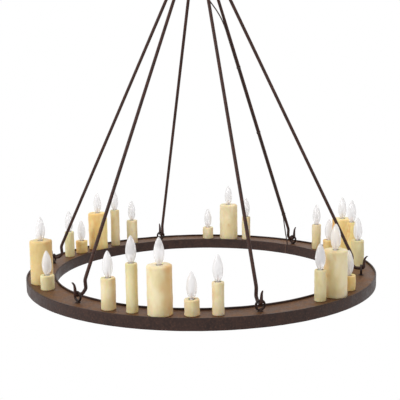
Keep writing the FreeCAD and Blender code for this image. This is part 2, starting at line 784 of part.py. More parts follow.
def bulb():
    """Clear torpedo bulb with its cap, glass stem and filament; height 0 is the candle's top."""
    button = -holder_recess - holder_bore_depth + seat_gap
    cone_top = button + cap_cone_length
    cap_top = cone_top + cap_length
    cap = turned_profile([
        (0, button), (cap_button_radius, button),
        (cap_button_radius, button + cap_button_height), (cap_radius - cap_bevel, cone_top),
        (cap_radius, cone_top + cap_bevel), (cap_radius, cap_top), (0, cap_top),
    ])
    # (share of the largest radius, share of the height above the candle)
    shape = [(0.46, 0.02), (0.66, 0.094), (0.86, 0.19), (0.97, 0.29), (1.0, 0.40),
             (0.94, 0.57), (0.70, 0.76), (0.41, 0.90), (0.19, 0.97)]

    def profile(inset):
        floor = Vector(0, 0, cap_top + inset)
        tip = Vector(0, 0, bulb_height - 2 * inset)
        shrink = (tip.z - floor.z) / (bulb_height - cap_top)
        curve = [Vector(neck_radius - inset, 0, floor.z)]
        for radius_share, height_share in shape:
            rise = bulb_height * height_share - cap_top
            curve.append(Vector(bulb_radius * radius_share - inset, 0, floor.z + rise * shrink))
        spline = Part.BSplineCurve()
        spline.interpolate(curve + [tip])
        return Part.Face(Part.Wire([
            spline.toShape(),
            Part.LineSegment(tip, floor).toShape(),
            Part.LineSegment(floor, curve[0]).toShape(),
        ])).revolve(Vector(0, 0, 0), Vector(0, 0, 1), 360)

    glass = profile(0).cut(profile(glass_thickness))
    stem_bottom = cap_top + glass_thickness
    stem_top = stem_bottom + glass_stem_height
    stem = Part.makeCone(glass_stem_radius, glass_stem_radius / 2, glass_stem_height,
                         Vector(0, 0, stem_bottom))
    foot = Vector(0, 0, stem_top - filament_foot_depth)
    other_foot = foot + Vector(filament_foot_gap, 0, 0)
    left = Vector(-filament_half_width, 0, stem_top + filament_height / 2)
    right = Vector(filament_half_width, 0, stem_top + filament_height / 2)
    peak = Vector(0, 0, stem_top + filament_height)
    loop = rounded_path([foot, left, peak, right, other_foot], filament_bends)
    mount = stem.fuse(swept(loop, filament_wire_radius))
    return Part.makeCompound([cap, glass, mount])


def bulbs():
    """One bulb over each lamp holder."""
    master = bulb()
    made = {}
    for i, (kind, azimuth) in enumerate(candle_places()):
        copy = master.copy()
        copy.translate(polar(tray_circle, azimuth, tray_top + candle_sizes[kind][1]))
        made[f"bulb_{i + 1:02d}"] = copy
    return made


# ---- all pieces -----------------------------------------------------------------------
nodes = {
    "canopy": canopy(),
    "mounting_strap": mounting_strap(),
    "hanger_nipple": hanger_nipple(),
    "collar_ring": collar_ring(),
    "canopy_loop": canopy_loop(),
    "canopy_bush": canopy_bush(),
    "chain_lead": chain_lead(),
    "hub_plate": hub_plate(),
    "hub_eye_bolt": hub_eye_bolt(),
    "eye_bolt_nuts": eye_bolt_nuts(),
    "ring_eyes": ring_eyes(),
    "outer_band": outer_band(),
    "inner_band": inner_band(),
    "tray_plate": tray_plate(),
    "wireway_cover": wireway_cover(),
    "cover_fixings": cover_fixings(),
    "supply_lead": supply_lead(),
    "lead_ties": lead_ties(),
    "lead_grommets": lead_grommets(),
    "wiring_loop": wiring_loop(),
    "lamp_holders": lamp_holders(),
    "holder_stems": holder_stems(),
    "pillar_covers": candle_covers("pillar"),
    "tall_covers": candle_covers("tall"),
    "medium_covers": candle_covers("medium"),
    "slim_covers": candle_covers("slim"),
    "short_covers": candle_covers("short"),
}
nodes.update(chain_links())
nodes.update(hook_rods())
nodes.update(bulbs())

os.makedirs("parts", exist_ok=True)
for name, shape in nodes.items():
    shape.exportStep(f"parts/{name}.step")
    print(name, "solids", len(shape.Solids), "valid", shape.isValid(), "volume",
          round(sum(solid.Volume for solid in shape.Solids)))
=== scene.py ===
"""Wagon wheel chandelier: an iron ring of candle lights on hooked rods, a hub plate and a short
chain from a ceiling canopy. Metres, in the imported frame."""

import json
import math

import bpy
from mathutils import Matrix, Vector, noise


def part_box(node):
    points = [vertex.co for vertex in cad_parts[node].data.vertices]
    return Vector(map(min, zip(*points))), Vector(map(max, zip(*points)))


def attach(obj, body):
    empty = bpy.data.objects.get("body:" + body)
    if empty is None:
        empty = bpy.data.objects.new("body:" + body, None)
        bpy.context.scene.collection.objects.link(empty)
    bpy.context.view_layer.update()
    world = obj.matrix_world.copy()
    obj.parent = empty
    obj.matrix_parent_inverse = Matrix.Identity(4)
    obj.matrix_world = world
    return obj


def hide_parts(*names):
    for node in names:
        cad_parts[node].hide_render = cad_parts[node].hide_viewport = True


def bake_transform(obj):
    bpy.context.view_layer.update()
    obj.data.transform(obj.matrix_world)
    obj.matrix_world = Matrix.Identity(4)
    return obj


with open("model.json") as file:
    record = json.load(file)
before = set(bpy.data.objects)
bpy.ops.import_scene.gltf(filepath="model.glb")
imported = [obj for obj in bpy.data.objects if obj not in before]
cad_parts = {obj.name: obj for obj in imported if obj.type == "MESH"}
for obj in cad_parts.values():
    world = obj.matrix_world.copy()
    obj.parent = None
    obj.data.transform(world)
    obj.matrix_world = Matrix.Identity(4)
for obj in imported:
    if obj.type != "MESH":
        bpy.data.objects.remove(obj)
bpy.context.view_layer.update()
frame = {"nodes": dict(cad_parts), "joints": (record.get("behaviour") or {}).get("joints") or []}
bpy.ops.object.select_all(action="DESELECT")

# ---- Camera ---------------------------------------------------------------------------
# A 70 mm lens a little above the ring and 2.7 m from its axis, held with a slight roll.
ring_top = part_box("outer_band")[1].z
camera_turn = math.radians(12.34)
camera_reach, camera_rise = 2.720, 0.6513
aim = Vector((-0.0006, -0.0001, ring_top + 0.2423))
eye_point = Vector((camera_reach * math.sin(camera_turn), -camera_reach * math.cos(camera_turn),
                    ring_top + camera_rise))
bpy.ops.object.camera_add(location=eye_point)
camera = bpy.context.object
camera.name = "photo_camera"
look = (aim - eye_point).to_track_quat("-Z", "Y").to_matrix().to_4x4()
camera.matrix_world = Matrix.Translation(eye_point) @ look @ Matrix.Rotation(-0.0136, 4, "Z")
camera.data.lens = 70.32
camera.data.sensor_width = 36
camera.data.clip_end = 200
bpy.context.scene.camera = camera
bpy.context.scene.view_settings.view_transform = "Standard"

# ---- Supply lead ----------------------------------------------------------------------
# Round two-core lead in a brown PVC sheath, 4.5 mm thick. It leaves the hub plate's grommet, lies
# along the inner side of one rod, bows out beside the hook and goes through the tray.


def linear(hex_colour):
    """sRGB hex to linear red, green, blue and alpha."""
    parts = [int(hex_colour[i:i + 2], 16) / 255 for i in (1, 3, 5)]
    return [c / 12.92 if c < 0.04045 else ((c + 0.055) / 1.055) ** 2.4 for c in parts] + [1.0]


def add_node(tree, kind, inputs=(), **settings):
    """Adds a node with its settings; an input takes a value or another node's output."""
    node = tree.nodes.new(kind)
    for name, value in settings.items():
        setattr(node, name, value)
    for name, value in dict(inputs).items():
        if isinstance(value, bpy.types.NodeSocket):
            tree.links.new(value, node.inputs[name])
        else:
            node.inputs[name].default_value = value
    return node


def new_material(name, **sockets):
    """Material whose shader has the given uniform values; returns it, its tree and the shader."""
    material = bpy.data.materials.new(name)
    material.use_nodes = True
    tree = material.node_tree
    surface = tree.nodes["Principled BSDF"]
    for socket, value in sockets.items():
        surface.inputs[socket.replace("_", " ")].default_value = value
    return material, tree, surface


def mottled(name, low, high, patch, grain, bump, rough, **sockets):
    """Two tones in patches and grains of the given sizes, with that grain as a fine bump."""
    material, tree, surface = new_material(name, **sockets)
    place = add_node(tree, "ShaderNodeTexCoord").outputs["Object"]
    patches = add_node(tree, "ShaderNodeTexNoise",
                       {"Vector": place, "Scale": 1 / patch, "Detail": 4.0}).outputs["Fac"]
    grains = add_node(tree, "ShaderNodeTexNoise",
                      {"Vector": place, "Scale": 1 / grain, "Detail": 3.0}).outputs["Fac"]
    both = add_node(tree, "ShaderNodeMath", {0: patches, 1: grains}, operation="ADD").outputs[0]
    share = add_node(tree, "ShaderNodeMapRange",
                     {"Value": both, "From Min": 0.75, "From Max": 1.25}).outputs["Result"]
    tone = add_node(tree, "ShaderNodeMix", {0: share, 6: linear(low), 7: linear(high)},
                    data_type="RGBA").outputs[2]
    gloss = add_node(tree, "ShaderNodeMapRange",
                     {"Value": patches, "From Min": 0.35, "From Max": 0.65,
                      "To Min": rough[0], "To Max": rough[1]}).outputs["Result"]
    relief = add_node(tree, "ShaderNodeBump",
                      {"Height": grains, "Strength": 0.5, "Distance": bump}).outputs["Normal"]
    tree.links.new(tone, surface.inputs["Base Color"])
    tree.links.new(gloss, surface.inputs["Roughness"])
    tree.links.new(relief, surface.inputs["Normal"])
    return material


# PVC sheath: extruded, dull, with scuffs a few millimetres long.
lead_sheath = mottled("pvc_sheath", "#2a1d19", "#46342d", 0.012, 0.0015, 0.00008, (0.42, 0.6))


def round_lead(name, points, diameter):
    """Lead along the smooth spline of the given points."""
    bpy.ops.curve.primitive_nurbs_path_add()
    lead = bpy.context.object
    lead.name = name
    lead.data.splines.clear()
    spline = lead.data.splines.new("NURBS")
    spline.points.add(len(points) - 1)
    for control, point in zip(spline.points, points):
        control.co = (*point, 1)
    spline.order_u = 3
    spline.use_endpoint_u = True
    spline.resolution_u = 12
    lead.data.dimensions = "3D"
    lead.data.use_path = False
    lead.data.bevel_depth = diameter / 2
    lead.data.bevel_resolution = 4
    lead.data.use_fill_caps = True
    lead.data.materials.append(lead_sheath)
    return lead


lead_diameter = 0.0045
lead_azimuth = math.radians(60)
# (from the axis, above the hoops' top edges), from the hub plate down to the wireway
lead_route = [
    (0.0320, 1.0120), (0.0320, 0.9780), (0.0460, 0.9420), (0.12682, 0.87649),
    (0.17200, 0.78240), (0.48364, 0.13344), (0.49322, 0.11349), (0.4975, 0.0920),
    (0.5040, 0.0660), (0.5090, 0.0420), (0.5155, 0.0220), (0.5210, 0.0030),
    (0.5210, -0.0313), (0.5560, -0.0313),
]
lead_points = [Vector((r * math.cos(lead_azimuth), r * math.sin(lead_azimuth), ring_top + z))
               for r, z in lead_route]
supply_lead = round_lead("rod_lead", lead_points, lead_diameter)
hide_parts("supply_lead")
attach(supply_lead, "chandelier")

# ---- Chain lead -----------------------------------------------------------------------
# The same lead from the canopy to the hub plate, woven through the links from side to side.
# It is cut into four lengths, one across each swinging joint.
hub_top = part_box("hub_plate")[1].z
grommet_reach = 0.032
hub_grommet = Vector((grommet_reach * math.cos(lead_azimuth),
                      grommet_reach * math.sin(lead_azimuth), hub_top))
chain_points = [
    Vector((0.0150, -0.0168, -0.0285)), Vector((0.0150, -0.0168, -0.0460)),
    Vector((0.0080, -0.0080, -0.0700)), Vector((0, -0.0056, -0.0902)),
    Vector((-0.0080, -0.0080, -0.1112)), Vector((-0.0056, 0, -0.1319)),
    Vector((-0.0080, 0.0080, -0.1529)), Vector((0, 0.0056, -0.1736)),
    Vector((0.0080, 0.0090, -0.1946)),
    Vector((hub_grommet.x, hub_grommet.y - 0.004, -0.2166)),
    hub_grommet + Vector((0, 0, 0.006)), hub_grommet,
]
route = round_lead("chain_route", chain_points, lead_diameter)
route.data.bevel_depth = 0
traced = bpy.data.meshes.new_from_object(route)
chain_line = [vertex.co.copy() for vertex in traced.vertices]
bpy.data.objects.remove(route)
bpy.data.meshes.remove(traced)
chain_bodies = ["ceiling_mount", "top_link", "middle_link", "bottom_link", "chandelier"]
link_middles = [-0.0902, -0.1319, -0.1736]
joint_heights = [-0.073, -0.1142, -0.1559, -0.1976]
cuts = [0.0] + link_middles + [-1.0]
cut_lap, bend_reach, bend_margin = 0.0016, 0.014, 0.002
ring_sides = 14


def lead_length(name, line):
    """Closed round length of lead along a traced line, ring by ring."""
    bpy.ops.mesh.primitive_circle_add(vertices=ring_sides, radius=lead_diameter / 2)
    piece = bpy.context.object
    piece.name = name
    circle = [vertex.co.copy() for vertex in piece.data.vertices]
    along = [(after - before).normalized()
             for before, after in zip([line[0]] + line, line[1:] + [line[-1]])]
    rings, turn = [], Vector((0, 0, 1)).rotation_difference(along[0])
    for i, point in enumerate(line):
        if i:
            turn = along[i - 1].rotation_difference(along[i]) @ turn
        rings += [point + turn @ corner for corner in circle]
    faces = []
    for i in range(len(line) - 1):
        for k in range(ring_sides):
            a, b = i * ring_sides + k, i * ring_sides + (k + 1) % ring_sides
            faces.append((a, b, b + ring_sides, a + ring_sides))
    faces += [tuple(reversed(range(ring_sides))),
              tuple(range(len(rings) - ring_sides, len(rings)))]
    piece.data.clear_geometry()
    piece.data.from_pydata(rings, [], faces)
    piece.data.materials.append(lead_sheath)
    bpy.ops.object.shade_smooth_by_angle(angle=math.radians(50))
    return piece


for i, (upper, lower) in enumerate(zip(chain_bodies, chain_bodies[1:])):
    line = [point for point in chain_line
            if cuts[i + 1] - cut_lap <= point.z <= cuts[i] + cut_lap]
    length = lead_length(f"chain_lead_{i + 1}", line)
    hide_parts("chain_lead")
    hinge = joint_heights[i]
    top = min(cuts[i], hinge + bend_reach) - bend_margin
    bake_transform(length)

# ---- Floor and light ------------------------------------------------------------------
# Pale painted studio floor under the hanging object, and a white backdrop all round. Beyond the
# shadow, and for what glass and metal mirror, floor and backdrop are plain white.


def looked_at(tree):
    """1 for rays from the camera, off something glossy or through glass, and 0 for the rest."""
    rays = add_node(tree, "ShaderNodeLightPath").outputs
    direct = add_node(tree, "ShaderNodeMath", {0: rays["Is Camera Ray"], 1: rays["Is Glossy Ray"]},
                      operation="ADD").outputs[0]
    return add_node(tree, "ShaderNodeMath", {0: direct, 1: rays["Is Transmission Ray"]},
                    operation="ADD", use_clamp=True).outputs[0]


floor_material, tree, surface = new_material("painted_floor", Roughness=0.85)
surface.inputs["Base Color"].default_value = linear("#f2f1ef")
place = add_node(tree, "ShaderNodeTexCoord").outputs["Object"]
reach = add_node(tree, "ShaderNodeVectorMath", {0: place}, operation="LENGTH").outputs["Value"]
beyond = add_node(tree, "ShaderNodeMapRange", {"Value": reach, "From Min": 1.2, "From Max": 2.0},
                  interpolation_type="SMOOTHSTEP").outputs["Result"]
white_share = add_node(tree, "ShaderNodeMath", {0: looked_at(tree), 1: beyond},
                       operation="MULTIPLY")
white = add_node(tree, "ShaderNodeEmission", {"Strength": 1.0}).outputs[0]
floor_mix = add_node(tree, "ShaderNodeMixShader",
                     {0: white_share.outputs[0], 1: surface.outputs[0], 2: white}).outputs[0]
back = add_node(tree, "ShaderNodeNewGeometry").outputs["Backfacing"]
clear = add_node(tree, "ShaderNodeBsdfTransparent").outputs[0]
one_sided = add_node(tree, "ShaderNodeMixShader", {0: back, 1: floor_mix, 2: clear}).outputs[0]
tree.links.new(one_sided, tree.nodes["Material Output"].inputs["Surface"])
bpy.ops.mesh.primitive_plane_add(size=60, location=(0, 0, -2.6))
floor = bpy.context.object
floor.name = "studio_floor"
floor.data.materials.append(floor_material)

world = bpy.context.scene.world or bpy.data.worlds.new("studio")
bpy.context.scene.world = world
world.use_nodes = True
tree = world.node_tree
tree.nodes.clear()
room = add_node(tree, "ShaderNodeBackground", {"Color": linear("#fbfaf8"), "Strength": 0.64})
backdrop = add_node(tree, "ShaderNodeBackground", {"Color": linear("#ffffff"), "Strength": 1.0})
sky = add_node(tree, "ShaderNodeMixShader",
               {0: looked_at(tree), 1: room.outputs[0], 2: backdrop.outputs[0]}).outputs[0]
add_node(tree, "ShaderNodeOutputWorld", {"Surface": sky})


def softbox(name, place, size, power):
    """Square area light that faces the ring."""
    bpy.ops.object.light_add(type="AREA", location=place)
    light = bpy.context.object
    light.name = name
    light.data.size = size
    light.data.energy = power
    towards = Vector((0, 0, ring_top + 0.1)) - Vector(place)
    light.rotation_euler = towards.to_track_quat("-Z", "Y").to_euler()


softbox("key_light", (-2.2, -2.4, ring_top + 1.7), 1.4, 54)
softbox("fill_light", (2.8, -1.4, ring_top + 0.9), 2.0, 7)
softbox("top_light", (0.3, 0.6, ring_top + 2.9), 1.8, 26)

# ---- Canopy ---------------------------------------------------------------------------
# Spun steel dish that covers the ceiling box, with a rolled rim and a flat floor for the collar.
# All the iron has a dark rust-brown powder coat over hammered and scaled metal: half gloss, redder
# where it is rubbed, nearly black in the dents.


def coated_iron(name, dark, brown, rust, dent=0.014, dent_depth=0.0004, gloss=(0.40, 0.58)):
    """Powder-coated wrought iron with hammer dents of the given size."""
    material, tree, surface = new_material(name, Metallic=0.1, Specular_IOR_Level=0.25)
    place = add_node(tree, "ShaderNodeTexCoord").outputs["Object"]
    mottle = add_node(tree, "ShaderNodeTexNoise",
                      {"Vector": place, "Scale": 1 / 0.030, "Detail": 5.0, "Roughness": 0.62})
    speckle = add_node(tree, "ShaderNodeTexNoise",
                       {"Vector": place, "Scale": 1 / 0.0055, "Detail": 4.0, "Roughness": 0.6})
    scale_pits = add_node(tree, "ShaderNodeTexNoise",
                          {"Vector": place, "Scale": 1 / 0.0024, "Detail": 3.0})
    dents = add_node(tree, "ShaderNodeTexVoronoi",
                     {"Vector": place, "Scale": 1 / dent, "Smoothness": 0.7},
                     feature="SMOOTH_F1")
    both = add_node(tree, "ShaderNodeMath", {0: mottle.outputs["Fac"], 1: speckle.outputs["Fac"]},
                    operation="ADD").outputs[0]
    share = add_node(tree, "ShaderNodeMapRange",
                     {"Value": both, "From Min": 0.78, "From Max": 1.18}).outputs["Result"]
    coat = add_node(tree, "ShaderNodeMix", {0: share, 6: linear(dark), 7: linear(brown)},
                    data_type="RGBA").outputs[2]
    rubbed = add_node(tree, "ShaderNodeMapRange",
                      {"Value": speckle.outputs["Fac"], "From Min": 0.56, "From Max": 0.72,
                       "To Max": 0.75}).outputs["Result"]
    tone = add_node(tree, "ShaderNodeMix", {0: rubbed, 6: coat, 7: linear(rust)},
                    data_type="RGBA").outputs[2]
    shine = add_node(tree, "ShaderNodeMapRange",
                     {"Value": mottle.outputs["Fac"], "From Min": 0.35, "From Max": 0.65,
                      "To Min": gloss[0], "To Max": gloss[1]}).outputs["Result"]
    fine = add_node(tree, "ShaderNodeBump",
                    {"Height": scale_pits.outputs["Fac"], "Strength": 0.55,
                     "Distance": 0.0005}).outputs["Normal"]
    relief = add_node(tree, "ShaderNodeBump",
                      {"Height": dents.outputs["Distance"], "Normal": fine, "Strength": 0.8,
                       "Distance": dent_depth}).outputs["Normal"]
    tree.links.new(tone, surface.inputs["Base Color"])
    tree.links.new(shine, surface.inputs["Roughness"])
    tree.links.new(relief, surface.inputs["Normal"])
    return material


wrought_iron = coated_iron("coated_wrought_iron", "#1f1412", "#36251f", "#4f3328")


def turned(name, centre, stations, sides, material):
    """Piece built up ring by ring from (radius, height) stations, as on a lathe."""
    x, y, z = centre
    radius, height = stations[0]
    radius = max(radius, 1e-6)
    bpy.ops.mesh.primitive_circle_add(vertices=sides, radius=radius, location=(x, y, z + height))
    piece = bpy.context.object
    piece.name = name
    bpy.ops.object.transform_apply(location=True, rotation=True, scale=True)
    bpy.ops.object.mode_set(mode="EDIT")
    bpy.ops.mesh.select_all(action="SELECT")
    for wanted, level in stations[1:]:
        wanted = max(wanted, 1e-6)
        bpy.ops.mesh.extrude_region_move(
            TRANSFORM_OT_translate={"value": (0, 0, level - height)})
        grow = wanted / radius
        bpy.ops.transform.resize(value=(grow, grow, 1), center_override=(x, y, z + level))
        radius, height = wanted, level
    bpy.ops.mesh.select_all(action="SELECT")
    bpy.ops.mesh.remove_doubles(threshold=4e-6)
    bpy.ops.mesh.normals_make_consistent(inside=False)
    bpy.ops.object.mode_set(mode="OBJECT")
    piece.data.materials.append(material)
    bpy.ops.object.shade_smooth_by_angle(angle=math.radians(38))
    return piece


def arc(centre, radii, start, end, steps):
    """Stations along a quarter round or any other arc, angles in degrees."""
    out = []
    for i in range(steps + 1):
        angle = math.radians(start + (end - start) * i / steps)
        out.append((centre[0] + radii[0] * math.cos(angle), centre[1] + radii[1] * math.sin(angle)))
    return out


def part_of(piece, body, slot, *nodes):
    """The piece rides on a body and stands for the named nodes; slot is not used."""
    if nodes:
        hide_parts(*nodes)
    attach(piece, body)


canopy_rim = [(0.0660, 0.0), (0.0692, 0.0), (0.0699, -0.0007), (0.0700, -0.0022),
              (0.0695, -0.0036), (0.0688, -0.0048)]
canopy_outside = arc((0.0337, -0.0002), (0.0352, 0.0298), -10, -90, 14)
canopy_floor = [(0.0240, -0.0300), (0.0160, -0.0300), (0.0050, -0.0300), (0.0050, -0.0285)]
canopy_inside = [(0.0160, -0.0285)] + arc((0.0337, -0.0002), (0.0337, 0.0283), -90, -4, 14)
canopy = turned("ceiling_canopy", (0, 0, 0),
                canopy_rim + canopy_outside + canopy_floor + canopy_inside + [(0.0660, 0.0)],
                96, wrought_iron)
bush_place = Vector((0.0150, -0.0168, -0.030))
bpy.ops.mesh.primitive_cylinder_add(vertices=32, radius=0.0046, depth=0.01, location=bush_place)
drill = bpy.context.object
bpy.ops.object.select_all(action="DESELECT")
canopy.select_set(True)
bpy.context.view_layer.objects.active = canopy
hole = canopy.modifiers.new("lead_hole", "BOOLEAN")
hole.object = drill
hole.solver = "EXACT"
bpy.ops.object.modifier_apply(modifier="lead_hole")
bpy.data.objects.remove(drill)
part_of(canopy, "ceiling_mount", "forged_iron", "canopy")

# ---- Strap, nipple and nuts -----------------------------------------------------------
# Zinc-plated steel: a stamped strap on the ceiling box, a threaded nipple and hexagon nuts. The
# plating is cool and half bright, with faint cloudy spangles.
plain_steel = mottled("zinc_plated_steel", "#8d8f92", "#b9bcbe", 0.009, 0.0008, 0.00005,
                      (0.28, 0.42), Metallic=1.0)


def refinish(node, material):
    """Gives a CAD node that keeps its shape its real finish."""
    piece = frame["nodes"][node]
    piece.data.materials.clear()
    piece.data.materials.append(material)
    for face in piece.data.polygons:
        face.material_index = 0


for node in ("mounting_strap", "hanger_nipple", "holder_stems"):
    refinish(node, plain_steel)
refinish("eye_bolt_nuts", wrought_iron)

# ---- Collar ring and loop -------------------------------------------------------------
# The collar is a knurled brass ring with the iron's coat; it screws up the loop's neck and holds
# the canopy to the ceiling. The loop below it carries the chain.
collar_stations = [(0.0086, -0.0300), (0.0139, -0.0300), (0.0146, -0.0303), (0.0150, -0.0311),
                   (0.0150, -0.0369), (0.0146, -0.0377), (0.0139, -0.0380), (0.0086, -0.0380),
                   (0.0086, -0.0300)]
collar = turned("collar_knurled", (0, 0, 0), collar_stations, 72, wrought_iron)
bpy.ops.object.mode_set(mode="EDIT")
bpy.ops.mesh.select_mode(type="FACE")
bpy.ops.mesh.select_all(action="DESELECT")
bpy.ops.object.mode_set(mode="OBJECT")
for face in collar.data.polygons:
    face.select = (math.hypot(face.center.x, face.center.y) > 0.0148
                   and round(math.degrees(math.atan2(face.center.y, face.center.x)) / 5) % 2 == 0
                   and abs(face.center.z + 0.034) < 0.0015)
bpy.ops.object.mode_set(mode="EDIT")
bpy.ops.mesh.inset(thickness=0.0002, depth=-0.0004, use_individual=True)
bpy.ops.object.mode_set(mode="OBJECT")
part_of(collar, "ceiling_mount", "forged_iron", "collar_ring")


def forged_bar(name, corners, bends, widths, material, sides=16, pitch=0.016):
    """Round bar along straight runs joined by bends. widths are (distance along, radius) pairs
    between which the bar tapers, a negative distance being from its end."""
    moves, place = [], corners[0]

    def run_to(end):
        length = (end - place).length
        if length > 1e-6:
            steps = max(1, round(length / pitch))
            moves.extend([(length / steps, (end - place) / steps, None)] * steps)

    for before, corner, after, bend in zip(corners, corners[1:], corners[2:], bends):
        into, out = (corner - before).normalized(), (after - corner).normalized()
        turn = into.angle(out)
        setback = bend * math.tan(turn / 2)
        run_to(corner - into * setback)
        axis = into.cross(out).normalized()
        centre = corner - into * setback + axis.cross(into) * bend
        steps = max(2, math.ceil(math.degrees(turn) / 12))
        moves.extend([(bend * turn / steps, centre, (axis, turn / steps))] * steps)
        place = corner + out * setback
    run_to(corners[-1])
    total = sum(move[0] for move in moves)
    widths = [(at + total if at < 0 else at, radius) for at, radius in widths]

    def width(distance):
        for (d0, r0), (d1, r1) in zip(widths, widths[1:]):
            if distance <= d1:
                return r0 + (r1 - r0) * max(0.0, distance - d0) / (d1 - d0)
        return widths[-1][1]

    heading = (corners[1] - corners[0]).normalized()
    point, distance, radius = corners[0].copy(), 0.0, width(0.0)
    bpy.ops.mesh.primitive_circle_add(vertices=sides, radius=radius, location=point,
                                      rotation=heading.to_track_quat("Z", "Y").to_euler())
    piece = bpy.context.object
    piece.name = name
    bpy.ops.object.transform_apply(location=True, rotation=True, scale=True)
    bpy.ops.object.mode_set(mode="EDIT")
    bpy.ops.mesh.select_all(action="SELECT")
    for length, way, swing in moves:
        if swing:
            axis, angle = swing
            bpy.ops.mesh.spin(steps=1, angle=-angle, center=way, axis=axis)
            rotation = Matrix.Rotation(angle, 3, axis)
            point = way + rotation @ (point - way)
            heading = rotation @ heading
        else:
            bpy.ops.mesh.extrude_region_move(TRANSFORM_OT_translate={"value": way})
            point = point + way
        distance += length
        grow = width(distance) / radius
        if abs(grow - 1) > 1e-6:
            bpy.ops.transform.resize(value=(grow, grow, grow), center_override=point)
            radius = width(distance)
    round_off(piece, heading, radius, None)
    round_off(piece, (corners[0] - corners[1]).normalized(), width(0.0), sides)
    bpy.ops.mesh.select_all(action="SELECT")
    bpy.ops.mesh.remove_doubles(threshold=2e-5)
    bpy.ops.mesh.normals_make_consistent(inside=False)
    bpy.ops.object.mode_set(mode="OBJECT")
    piece.data.materials.append(material)
    bpy.ops.object.shade_smooth()
    return piece


def round_off(piece, outwards, radius, first_ring):
    """Closes the selected end of a bar with a small round, or its start, given by the number of
    corners in the bar's first ring."""
    if first_ring:
        bpy.ops.mesh.select_all(action="DESELECT")
        bpy.ops.object.mode_set(mode="OBJECT")
        for vertex in piece.data.vertices:
            vertex.select = vertex.index < first_ring
        bpy.ops.object.mode_set(mode="EDIT")
        bpy.ops.mesh.select_mode(type="VERT")
    bpy.ops.object.mode_set(mode="OBJECT")
    ends = [vertex.co.copy() for vertex in piece.data.vertices if vertex.select]
    bpy.ops.object.mode_set(mode="EDIT")
    centre = sum(ends, Vector()) / len(ends)
    for rise, grow in ((0.28, 0.88), (0.14, 0.62)):
        centre = centre + outwards * radius * rise
        bpy.ops.mesh.extrude_region_move(
            TRANSFORM_OT_translate={"value": outwards * radius * rise})
        bpy.ops.transform.resize(value=(grow, grow, grow), center_override=centre)
    bpy.ops.mesh.extrude_region_move(TRANSFORM_OT_translate={"value": outwards * radius * 0.04})
    bpy.ops.mesh.merge(type="CENTER")


def weather(piece, size, depth):
    """Shallow unevenness of the given size, as the hammer or the mould leaves it."""
    texture = bpy.data.textures.new(f"{piece.name}_unevenness", "CLOUDS")
    texture.noise_scale = size
    modifier = piece.modifiers.new("unevenness", "DISPLACE")
    modifier.texture = texture
    modifier.texture_coords = "GLOBAL"
    modifier.mid_level = 0.5
    modifier.strength = depth
    bpy.context.view_layer.objects.active = piece
    bpy.ops.object.modifier_apply(modifier=modifier.name)
    bpy.data.textures.remove(texture)


def join(name, *parts):
    """Joins pieces into the first, which takes the name."""
    bpy.ops.object.select_all(action="DESELECT")
    for piece in parts:
        piece.select_set(True)
    bpy.context.view_layer.objects.active = parts[0]
    bpy.ops.object.join()
    parts[0].name = name
    bpy.ops.object.select_all(action="DESELECT")
    return parts[0]


def smooth_faces(piece):
    """Smooth shading over the whole piece."""
    for face in piece.data.polygons:
        face.use_smooth = True


def flow_together(piece, cell, rounds):
    """Melts joined parts into one forged skin with soft fillets where they meet."""
    bpy.context.view_layer.objects.active = piece
    remesh = piece.modifiers.new("one_skin", "REMESH")
    remesh.mode = "VOXEL"
    remesh.voxel_size = cell
    bpy.ops.object.modifier_apply(modifier="one_skin")
    smooth = piece.modifiers.new("soft_fillets", "SMOOTH")
    smooth.factor = 0.5
    smooth.iterations = rounds
    bpy.ops.object.modifier_apply(modifier="soft_fillets")
    smooth_faces(piece)


def eye_ring(name, centre, normal, mean_radius, wire):
    """Round eye, its wire a touch thicker at the bottom."""
    bpy.ops.mesh.primitive_torus_add(
        major_radius=mean_radius, minor_radius=wire, major_segments=48, minor_segments=16,
        location=centre, rotation=Vector(normal).to_track_quat("Z", "Y").to_euler())
    ring = bpy.context.object
    ring.name = name
    bpy.ops.object.transform_apply(location=True, rotation=True, scale=True)
    for vertex in ring.data.vertices:
        low = max(0.0, (centre[2] - vertex.co.z) / mean_radius - 0.35)
        offset = vertex.co - Vector(centre)
        flat = offset - Vector(normal) * offset.dot(Vector(normal))
        core = Vector(centre) + flat.normalized() * mean_radius
        vertex.co = core + (vertex.co - core) * (1 + 0.10 * low)
    ring.data.materials.append(wrought_iron)
    return ring


eye_mean, eye_wire = 0.0140, 0.0035
loop_eye = eye_ring("loop_eye", (0, 0, -0.059), (0, 1, 0), eye_mean, eye_wire)
loop_neck = turned("loop_neck", (0, 0, 0),
                   [(0, -0.0300), (0.0078, -0.0300), (0.0085, -0.0306), (0.0085, -0.0440),
                    (0.0080, -0.0452), (0.0060, -0.0462), (0.0, -0.0464)], 40, wrought_iron)
canopy_loop = join("hanging_loop", loop_neck, loop_eye)
flow_together(canopy_loop, 0.0006, 2)
part_of(canopy_loop, "ceiling_mount", "forged_iron", "canopy_loop")

# ---- Grommets -------------------------------------------------------------------------
# Moulded rubber rings in the canopy, the hub plate and the tray, dull black.
black_rubber = mottled("moulded_rubber", "#141414", "#242322", 0.006, 0.0006, 0.00005,
                       (0.55, 0.75))
for node in ("canopy_bush", "lead_grommets"):
    refinish(node, black_rubber)

